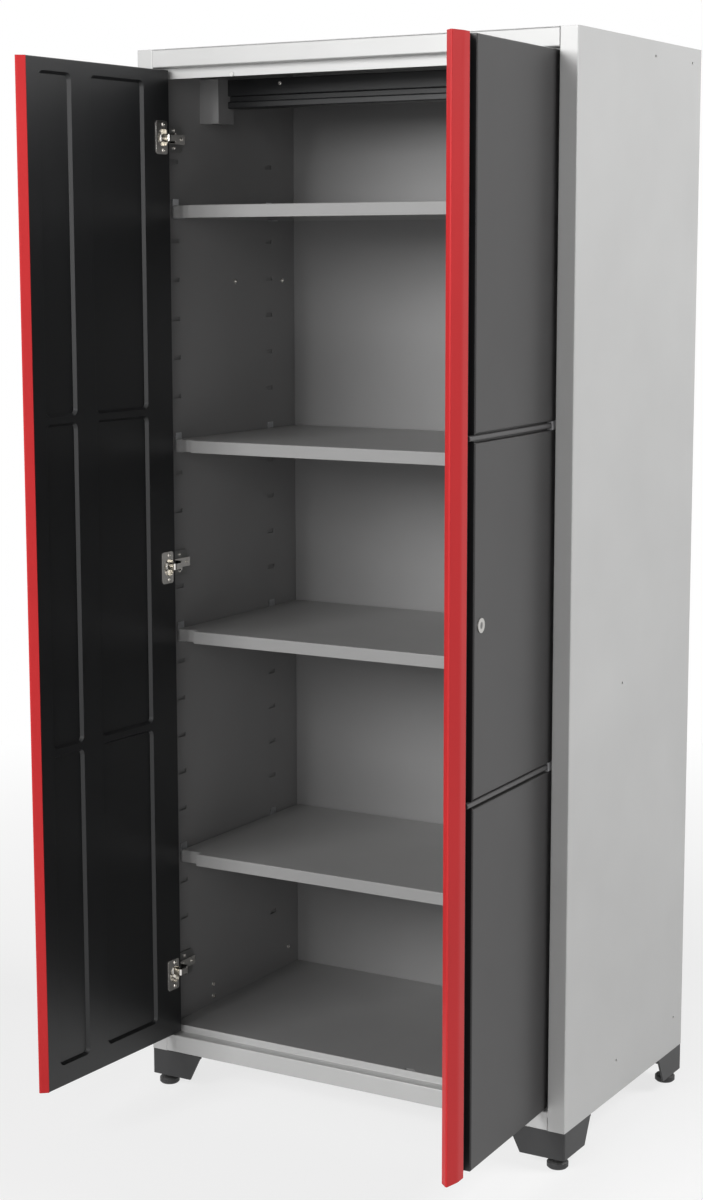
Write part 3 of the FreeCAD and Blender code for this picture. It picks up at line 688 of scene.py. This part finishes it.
@dataclass(frozen=True)
class GripProfile:
    """Section of the grip strip, in distances from the door's free edge and depths."""

    width: float = 0.0495
    lip: float = 0.0220
    lip_thickness: float = 0.0026
    edge_radius: float = 0.0010
    nose_depth: float = 0.0072
    nose_radius: float = 0.040
    tip_depth: float = 0.0102
    tip_radius: float = 0.0012
    back_inset: float = 0.0110
    pan_inset: float = 0.0121
    back_depth: float = 0.0220
    channel_depth: float = 0.0130
    web_foot: float = 0.0218
    web_top: float = 0.0268
    chamber: Outline = (
        (-0.0244, 0.0029), (-0.0015, 0.0089), (-0.0101, 0.0181), (-0.0101, 0.0110),
        (-0.0205, 0.0110),
    )
    arc_steps: int = 6

    def outline(self) -> Outline:
        """Outer outline with its corners rounded.

        Returns:
            Points as signed distance from the free edge and depth.
        """
        corners = (
            (-self.width, 0.0, self.edge_radius),
            (self.lip - self.width, 0.0, self.nose_radius),
            (0.0, self.nose_depth, self.tip_radius),
            (0.0, self.tip_depth, self.tip_radius),
            (-self.back_inset, self.back_depth, 0.0),
            (-self.pan_inset, self.back_depth, 0.0),
            (-self.pan_inset, self.channel_depth, 0.0),
            (-self.web_foot, self.channel_depth, 0.0),
            (-self.web_top, self.lip_thickness, self.edge_radius),
            (-self.width, self.lip_thickness, self.edge_radius),
        )
        points = []
        for i, (a, b, radius) in enumerate(corners):
            before, after = corners[i - 1][:2], corners[(i + 1) % len(corners)][:2]
            points += self._arc(Vector(before), Vector((a, b)), Vector(after), radius)
        return tuple(points)

    def _arc(self, before: Vector, corner: Vector, after: Vector, radius: float) -> Outline:
        """Rounds one corner.

        Args:
            before: Corner before it.
            corner: The corner.
            after: Corner after it.
            radius: Radius of the rounding, or zero for a sharp corner.

        Returns:
            The points that take the corner's place.
        """
        if not radius:
            return (tuple(corner),)
        ways = (before - corner).normalized(), (after - corner).normalized()
        half = ways[0].angle(ways[1]) / 2
        centre = corner + (ways[0] + ways[1]).normalized() * (radius / math.sin(half))
        start, end = (corner + way * (radius / math.tan(half)) - centre for way in ways)
        steps = [step / self.arc_steps for step in range(self.arc_steps + 1)]
        return tuple(tuple(centre + start.slerp(end, step) * radius) for step in steps)


@dataclass(frozen=True)
class RingNut:
    """Hexagon nut with a chamfered rim and a round bore."""

    across_flats: float
    bore_radius: float
    thickness: float
    chamfer: float = 0.0006
    sides: int = 6
    steps: int = 36

    def _hexagon(self, angle: float) -> float:
        """Distance from the centre to the hexagon.

        Args:
            angle: Direction in radians.

        Returns:
            The distance.
        """
        sector = math.tau / self.sides
        turned = (angle + sector / 2) % sector - sector / 2
        return self.across_flats / 2 / math.cos(turned)

    def add_to(self, form: bmesh.types.BMesh, place: Vector, outward: Vector) -> None:
        """Adds the nut to a bmesh.

        Args:
            form: Mesh to add to.
            place: Centre of the nut's seat.
            outward: Direction that the nut stands up in.
        """
        turn = outward.to_track_quat("Z", "Y").to_matrix().to_4x4()
        matrix = Matrix.Translation(place) @ turn
        angles = [math.tau * step / self.steps for step in range(self.steps)]
        rim = [self._hexagon(angle) for angle in angles]
        bore = [self.bore_radius] * self.steps
        top = [radius - self.chamfer for radius in rim]
        profile = [
            (bore, 0.0), (rim, 0.0), (rim, self.thickness - self.chamfer), (top, self.thickness),
            (bore, self.thickness),
        ]
        add_rings(form, turned_rings(matrix, profile, angles), closed=True)


@dataclass
class Carcass:
    """Fixed sheets of the cabinet with their fasteners."""

    workshop: Workshop
    wall_screw: ScrewHead = ScrewHead(0.0050, 0.0028)
    rail_screw: ScrewHead = ScrewHead(0.0040, 0.0022)
    bumper: ScrewHead = ScrewHead(0.0045, 0.0022, Drive.NONE)
    rivet: ScrewHead = ScrewHead(0.0042, 0.0016, Drive.NONE)
    wall_places: Outline = (
        (0.277, 1.531), (0.455, 1.531), (0.170, 0.090), (0.170, 0.065), (0.463, 0.091),
    )
    rail_screw_offset: float = 0.2598
    rail_screw_drop: float = 0.0107
    bumper_rise: float = 0.0035
    stop_setback: float = 0.025
    sheet: float = 0.0012
    rivet_inset: float = 0.012
    rivet_margin: float = 0.06
    rivet_rows: int = 9
    channel_profile: Outline = (
        (-0.0320, 0.0), (-0.0235, 0.0), (-0.0215, 0.0021), (0.0215, 0.0021), (0.0235, 0.0),
        (0.0320, 0.0), (0.0320, 0.0010), (0.0241, 0.0010), (0.0221, 0.0031), (-0.0221, 0.0031),
        (-0.0241, 0.0010), (-0.0320, 0.0010),
    )
    channel_margin: float = 0.03
    channel_setbacks: tuple[float, float] = (0.070, 0.406)

    def dress(self) -> None:
        """Gives every sheet its paint."""
        for node in (
            "side_panel_left", "side_panel_right", "top_panel", "header_rail", "bottom_rail",
        ):
            self.workshop.dress(node, SILVER)
        for node in (
            "side_liner_left", "side_liner_right", "back_panel", "floor_panel",
            "cross_rail_bracket_left", "cross_rail_bracket_right",
        ):
            self.workshop.dress(node, INTERIOR)
        self.workshop.dress("cross_rail", BLACK)

    def build(self) -> None:
        """Builds the small pieces on the fixed sheets."""
        for side in Side:
            self._wall(side)
        self._rails()
        self._rivets()

    def _wall(self, side: Side) -> None:
        """Builds a liner's screws and the channels behind its slots.

        Args:
            side: Side of the cabinet.
        """
        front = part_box("header_rail")[0][1]
        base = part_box("bottom_rail")[0][2]
        low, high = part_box("side_liner_" + side.label)
        wall = high[0] if side is Side.LEFT else low[0]
        outward = AXIS_X * side.value
        screws = bmesh.new()
        for setback, rise in self.wall_places:
            seat = Vector((wall, front + setback, base + rise))
            self.wall_screw.add_to(screws, seat, -outward)
        self.workshop.piece("liner_screws_" + side.label, screws, "cabinet", "steel", NICKEL)
        channel = Extrusion(self.channel_profile, high[2] - low[2] - 2 * self.channel_margin)
        channels = bmesh.new()
        for setback in self.channel_setbacks:
            foot = Vector((wall, front + setback, low[2] + self.channel_margin))
            channel.add_to(channels, foot + outward * self.sheet, AXIS_Y, outward, AXIS_Z)
        self.workshop.piece(
            "slot_channels_" + side.label, channels, "cabinet", "interior", INTERIOR,
        )

    def _rails(self) -> None:
        """Builds the cross rail's screws and the bumpers on the header's lip."""
        rail_low, rail_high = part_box("cross_rail")
        header_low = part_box("header_rail")[0]
        screws = bmesh.new()
        bumpers = bmesh.new()
        for side in Side:
            x = side.value * self.rail_screw_offset
            seat = Vector((x, rail_low[1], rail_high[2] - self.rail_screw_drop))
            self.rail_screw.add_to(screws, seat, -AXIS_Y)
            stop = Vector((x, header_low[1] + self.stop_setback, header_low[2] + self.bumper_rise))
            self.bumper.add_to(bumpers, stop, -AXIS_Y)
        self.workshop.piece("cross_rail_screws", screws, "cabinet", "steel", NICKEL)
        self.workshop.piece("header_bumpers", bumpers, "cabinet", "strip", BUMPER)

    def _rivets(self) -> None:
        """Builds the rivets that hold the back."""
        low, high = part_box("back_panel")
        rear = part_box("side_liner_left")[1][1] + self.sheet
        pitch = (high[2] - low[2] - 2 * self.rivet_margin) / (self.rivet_rows - 1)
        form = bmesh.new()
        for x in (low[0] + self.rivet_inset, high[0] - self.rivet_inset):
            for row in range(self.rivet_rows):
                place = Vector((x, rear, low[2] + self.rivet_margin + pitch * row))
                self.rivet.add_to(form, place, AXIS_Y)
        self.workshop.piece("back_rivets", form, "cabinet", "zinc", ZINC)


@dataclass
class Shelving:
    """Shelves and the clips that carry them."""

    workshop: Workshop
    count: int = 4

    def dress(self) -> None:
        """Gives shelves and clips their finishes."""
        for number in range(1, self.count + 1):
            self.workshop.dress("shelf_" + str(number), SHELF)
        self.workshop.dress("shelf_clips", ZINC)


@dataclass
class HingeSet:
    """Arms and base plates of the hinges on both sides, with their screws."""

    workshop: Workshop
    plate_screw: ScrewHead = ScrewHead(0.0036, 0.0022)
    arm_screw: ScrewHead = ScrewHead(0.0034, 0.0018)
    plate_screw_offset: float = 0.0165
    plate_screw_setback: float = 0.034
    arm_thickness: float = 0.003
    arm_screw_setbacks: tuple[float, float] = (0.012, 0.040)

    def dress(self) -> None:
        """Gives arms and plates their plating."""
        self.workshop.dress("hinge_plates", PLATE)
        for side in Side:
            for level in Level:
                self.workshop.dress(side.label + "_hinge_arm_" + level.value, NICKEL)

    def build(self) -> None:
        """Builds the screws in the plates and arms."""
        form = bmesh.new()
        for side in Side:
            inward = AXIS_X * -side.value
            for level in Level:
                low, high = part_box(side.label + "_hinge_arm_" + level.value)
                middle = (low[2] + high[2]) / 2
                seat = low[0] if side is Side.LEFT else high[0]
                for offset in (-self.plate_screw_offset, self.plate_screw_offset):
                    place = Vector((seat, high[1] - self.plate_screw_setback, middle + offset))
                    self.plate_screw.add_to(form, place, inward)
                for setback in self.arm_screw_setbacks:
                    place = Vector((seat, high[1] - setback, middle)) + inward * self.arm_thickness
                    self.arm_screw.add_to(form, place, inward)
        self.workshop.piece("hinge_screws", form, "cabinet", "steel", NICKEL)


@dataclass
class Door:
    """One door: pan, panels, strips, grip, channel and cups.

    Places on a door are u from its hinge edge, d inward from its face, and z.
    """

    workshop: Workshop
    side: Side
    pin_inset: float = 0.008
    pin_depth: float = 0.0072
    cup_screw: ScrewHead = ScrewHead(0.0040, 0.0020)
    cup_screw_inset: float = 0.020
    cup_screw_offset: float = 0.024
    cup_face: float = 0.0232
    cap_start: float = 0.0005
    cap_length: float = 0.022
    cap_depth: float = 0.0090
    cap_half: float = 0.0076
    cap_wall: float = 0.0008
    cap_hollow_half: float = 0.00475
    grip: GripProfile = GripProfile()

    @property
    def body(self) -> str:
        """Body that the door's pieces ride on."""
        return self.side.label + "_door"

    def _joint(self) -> dict:
        """The door's hinge joint in the frame."""
        return next(joint for joint in frame["joints"] if joint["name"] == self.body + "_swing")

    def directions(self) -> tuple[Vector, Vector]:
        """Directions of u and d on the door as it stands.

        Returns:
            The direction from the hinge edge to the free edge, and the one into the door.
        """
        angle = math.radians(self._joint()["range_deg"][1])
        sign = self.side.value
        along = AXIS_X * -sign * math.cos(angle) - AXIS_Y * math.sin(angle)
        inward = AXIS_X * -sign * math.sin(angle) + AXIS_Y * math.cos(angle)
        return along, inward

    def place(self, u: float, d: float, z: float) -> Vector:
        """Finds a place on the door.

        Args:
            u: Distance from the hinge edge.
            d: Depth behind the face.
            z: Height.

        Returns:
            The place in the row frame.
        """
        along, inward = self.directions()
        pin = Vector(self._joint()["pos_m"])
        pin.z = z
        return pin + along * (u - self.pin_inset) + inward * (d - self.pin_depth)

    def closed(self, place: Vector) -> Vector:
        """Turns a place on the open door to where it lies with the door closed.

        Args:
            place: The place in the row frame.

        Returns:
            The turned place.
        """
        joint = self._joint()
        pin = Vector(joint["pos_m"])
        angle = math.radians(joint["range_deg"][1])
        return pin + Matrix.Rotation(-self.side.value * angle, 3, "Z") @ (place - pin)

    def dress(self) -> None:
        """Gives the door's pieces their finishes."""
        finishes = {
            "door_pan": BLACK, "finger_channel": BLACK, "seam_strips": STRIP, "grip_strip": GRIP,
            "hinge_pins": NICKEL,
        }
        for level in Level:
            finishes["hinge_cup_" + level.value] = NICKEL
            finishes["panel_" + level.value] = PANEL
        for part, finish in finishes.items():
            self.workshop.dress(self.side.label + "_" + part, finish)

    def build(self) -> None:
        """Builds the door's small pieces and its grip."""
        self._cup_screws()
        self._seam_caps()
        self._grip()

    def _cup_screws(self) -> None:
        """Builds the screws that hold the cups' flanges."""
        inward = self.directions()[1]
        screws = bmesh.new()
        for level in Level:
            low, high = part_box(self.side.label + "_hinge_cup_" + level.value)
            for offset in (-self.cup_screw_offset, self.cup_screw_offset):
                height = (low[2] + high[2]) / 2 + offset
                seat = self.place(self.cup_screw_inset, self.cup_face, height)
                self.cup_screw.add_to(screws, seat, inward)
        self.workshop.piece(self.side.label + "_cup_screws", screws, self.body, "steel", NICKEL)

    def _seam_caps(self) -> None:
        """Builds the caps on the seam strips' ends at the hinge edge, in a pale grey that is a
        painted highlight for the light seen at each groove's hinge end.
        """
        along, inward = self.directions()
        profile = (
            (0.0, -self.cap_half), (0.0, self.cap_half), (self.cap_depth, self.cap_half),
            (self.cap_depth, self.cap_hollow_half), (self.cap_wall, self.cap_hollow_half),
            (self.cap_wall, -self.cap_hollow_half), (self.cap_depth, -self.cap_hollow_half),
            (self.cap_depth, -self.cap_half),
        )
        cap = Extrusion(profile, self.cap_length)
        caps = bmesh.new()
        for lower, upper in ((Level.LOWER, Level.MIDDLE), (Level.MIDDLE, Level.UPPER)):
            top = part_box(self.side.label + "_panel_" + lower.value)[1][2]
            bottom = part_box(self.side.label + "_panel_" + upper.value)[0][2]
            origin = self.place(self.cap_start, 0.0, (top + bottom) / 2)
            cap.add_to(caps, origin, inward, AXIS_Z, along)
        # The caps' pale finish is a painted highlight, not a colour the strips have of their own.
        self.workshop.piece(self.side.label + "_seam_caps", caps, self.body, "strip", SEAM_CAP_HIGHLIGHT)

    def _grip(self) -> None:
        """Builds the grip strip with its narrow lip and rounded nose, in place of the CAD node."""
        along, inward = self.directions()
        node = self.side.label + "_grip_strip"
        low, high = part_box(node)
        start = self.place(0.0, 0.0, low[2])
        vertices = frame["nodes"][node].data.vertices
        reach = max((vertex.co - start).dot(along) for vertex in vertices)
        strip = Extrusion(self.grip.outline(), high[2] - low[2], self.grip.chamber)
        form = bmesh.new()
        strip.add_to(form, start + along * reach, along, inward, AXIS_Z)
        self.workshop.piece(self.side.label + "_grip", form, self.body, "grip", GRIP, node)


@dataclass
class RodLock:
    """Lock, crank, rods and guides of the right door."""

    workshop: Workshop
    door: Door
    inset: float = 0.311
    field_floor: float = 0.016
    nut: RingNut = RingNut(0.024, 0.0093, 0.003)
    hole_reach: float = 0.012
    keeper_depth: float = 0.022
    keeper_margin: float = 0.008
    keeper_sheet: float = 0.0012
    same_row: float = 0.0001

    def dress(self) -> None:
        """Gives the lock's pieces their finishes."""
        self.workshop.dress("lock_housing", LOCK)
        self.workshop.dress("lock_plug", PLUG)
        for node in ("lock_crank", "lock_rod_upper", "lock_rod_lower"):
            self.workshop.dress(node, ZINC)
        self.workshop.dress("rod_guides", GUIDE)

    def build(self) -> None:
        """Builds the lock's nut and the lower rod's keeper."""
        self._nut()
        self._keeper()

    def _nut(self) -> None:
        """Builds the nut that holds the lock against the pan."""
        low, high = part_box("lock_housing")
        seat = self.door.place(self.inset, self.field_floor, (low[2] + high[2]) / 2)
        form = bmesh.new()
        self.nut.add_to(form, seat, self.door.directions()[1])
        self.workshop.piece("lock_nut", form, self.door.body, "zinc", ZINC)

    def _keeper(self) -> None:
        """Builds the folded keeper below the hole in the floor that the lower rod drops into."""
        low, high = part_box("lock_rod_lower")
        middle = self.door.closed((Vector(low) + Vector(high)) / 2).x
        vertices = frame["nodes"]["floor_panel"].data.vertices
        rim = [vertex.co for vertex in vertices if abs(vertex.co.x - middle) < self.hole_reach]
        front, back = min(p.y for p in rim), max(p.y for p in rim)
        left, right = min(p.x for p in rim), max(p.x for p in rim)
        under = min(p.z for p in rim if p.y > back - self.same_row)
        reach = back - front
        inside, outside = -self.keeper_depth, -self.keeper_depth - self.keeper_sheet
        profile = (
            (0.0, 0.0), (0.0, inside), (-reach, inside), (-reach, outside),
            (self.keeper_sheet, outside), (self.keeper_sheet, 0.0),
        )
        keeper = Extrusion(profile, right - left + 2 * self.keeper_margin)
        start = Vector((left - self.keeper_margin, back, under))
        form = bmesh.new()
        keeper.add_to(form, start, AXIS_Y, AXIS_Z, AXIS_X)
        self.workshop.piece("rod_keeper", form, "cabinet", "interior", INTERIOR)


@dataclass
class Feet:
    """Corner feet and their glides."""

    workshop: Workshop

    def dress(self) -> None:
        """Gives feet and glides their plastic."""
        for end in ("front", "rear"):
            for side in Side:
                self.workshop.dress("foot_" + end + "_" + side.label, FOOT)
                self.workshop.dress("glide_" + end + "_" + side.label, FOOT)


@dataclass(frozen=True)
class SoftLamp:
    """Square studio lamp."""

    name: str
    place: Point
    power: float
    size: float = 2.0
    target: Point = (0.0, 0.0, 1.0)

    def build(self) -> None:
        """Hangs the lamp and points it at its target."""
        lamp = bpy.data.lights.new(self.name, "AREA")
        lamp.size = self.size
        lamp.energy = self.power
        obj = bpy.data.objects.new(self.name, lamp)
        bpy.context.scene.collection.objects.link(obj)
        obj.location = self.place
        aim = Vector(self.target) - Vector(self.place)
        obj.rotation_euler = aim.to_track_quat("-Z", "Y").to_euler()


@dataclass
class Studio:
    """Floor, background, lamps and camera."""

    floor_size: float = 30.0
    floor_colour: float = 0.93
    floor_roughness: float = 0.9
    near_white: float = 0.75
    fade_start: float = 1.2
    fade_end: float = 3.6
    camera_place: Point = (2.0945, -3.6383, 1.6519)
    camera_azimuth: float = 30.353
    camera_down: float = 8.642
    camera_roll: float = -0.110
    focal_pixels: float = 2249.1
    image_height: float = 1200.0
    sensor_height: float = 24.0
    ambient: float = 0.04
    lamps: tuple[SoftLamp, ...] = (
        SoftLamp("key_lamp", (-1.2, -5.0, 3.0), 184.0),
        SoftLamp("fill_lamp", (1.7, -4.8, 2.3), 46.0),
        SoftLamp("side_lamp", (3.5, 0.9, 3.4), 100.0),
    )

    def build(self) -> None:
        """Builds everything around the cabinet."""
        self._floor()
        self._world()
        for lamp in self.lamps:
            lamp.build()
        self._camera()

    def _floor(self) -> None:
        """Pale floor that keeps the shadow near the cabinet and fades to white."""
        half = self.floor_size / 2
        mesh = bpy.data.meshes.new("floor")
        corners = [(-half, -half, 0), (half, -half, 0), (half, half, 0), (-half, half, 0)]
        mesh.from_pydata(corners, [], [(0, 1, 2, 3)])
        floor = bpy.data.objects.new("floor", mesh)
        bpy.context.scene.collection.objects.link(floor)
        material = bpy.data.materials.new("floor_white")
        material.use_nodes = True
        material.node_tree.nodes.clear()
        graph = Graph(material.node_tree)
        length = graph.add("ShaderNodeVectorMath", {0: graph.place()}, operation="LENGTH")
        fade = (self.fade_start, self.fade_end)
        away = graph.ramp(length.outputs["Value"], fade, (self.near_white, 1.0))
        share = graph.math("MULTIPLY", away, graph.seen())
        colour = (self.floor_colour, self.floor_colour, self.floor_colour, 1.0)
        lit = graph.add(
            "ShaderNodeBsdfPrincipled", {"Base Color": colour, "Roughness": self.floor_roughness},
        )
        white = graph.add("ShaderNodeEmission", {"Color": WHITE, "Strength": 1.0})
        blend = graph.add(
            "ShaderNodeMixShader", {0: share, 1: lit.outputs[0], 2: white.outputs[0]},
        )
        graph.add("ShaderNodeOutputMaterial", {"Surface": blend.outputs[0]})
        mesh.materials.append(material)

    def _world(self) -> None:
        """White background for the camera and for gloss, faint ambient light for the rest."""
        world = bpy.data.worlds.new("studio")
        bpy.context.scene.world = world
        world.use_nodes = True
        world.node_tree.nodes.clear()
        graph = Graph(world.node_tree)
        soft = graph.add("ShaderNodeBackground", {"Color": WHITE, "Strength": self.ambient})
        white = graph.add("ShaderNodeBackground", {"Color": WHITE, "Strength": 1.0})
        blend = graph.add(
            "ShaderNodeMixShader", {0: graph.seen(), 1: soft.outputs[0], 2: white.outputs[0]},
        )
        graph.add("ShaderNodeOutputWorld", {"Surface": blend.outputs[0]})

    def _camera(self) -> None:
        """Camera where the photograph was taken from."""
        data = bpy.data.cameras.new("camera")
        data.sensor_fit = "VERTICAL"
        data.sensor_height = self.sensor_height
        data.lens = self.focal_pixels / self.image_height * self.sensor_height
        camera = bpy.data.objects.new("camera", data)
        bpy.context.scene.collection.objects.link(camera)
        turn = math.radians(self.camera_azimuth)
        down = math.radians(self.camera_down)
        level = AXIS_Y * math.cos(turn) - AXIS_X * math.sin(turn)
        aim = level * math.cos(down) - AXIS_Z * math.sin(down)
        roll = Matrix.Rotation(math.radians(self.camera_roll), 4, "Z")
        facing = aim.to_track_quat("-Z", "Y").to_matrix().to_4x4()
        camera.matrix_world = Matrix.Translation(self.camera_place) @ facing @ roll
        bpy.context.scene.camera = camera


def main() -> None:
    """Dresses the cabinet, builds its small pieces and sets up the studio."""
    logging.basicConfig(level=logging.INFO, format="%(name)s: %(message)s")
    workshop = Workshop()
    left_door = Door(workshop, Side.LEFT)
    right_door = Door(workshop, Side.RIGHT)
    lock = RodLock(workshop, right_door)
    for assembly in (Shelving(workshop), Feet(workshop)):
        assembly.dress()
    for assembly in (Carcass(workshop), HingeSet(workshop), left_door, right_door, lock):
        assembly.dress()
        assembly.build()
    Studio().build()
    bpy.context.scene.view_settings.view_transform = "Standard"


if __name__ == "__main__":
    main()
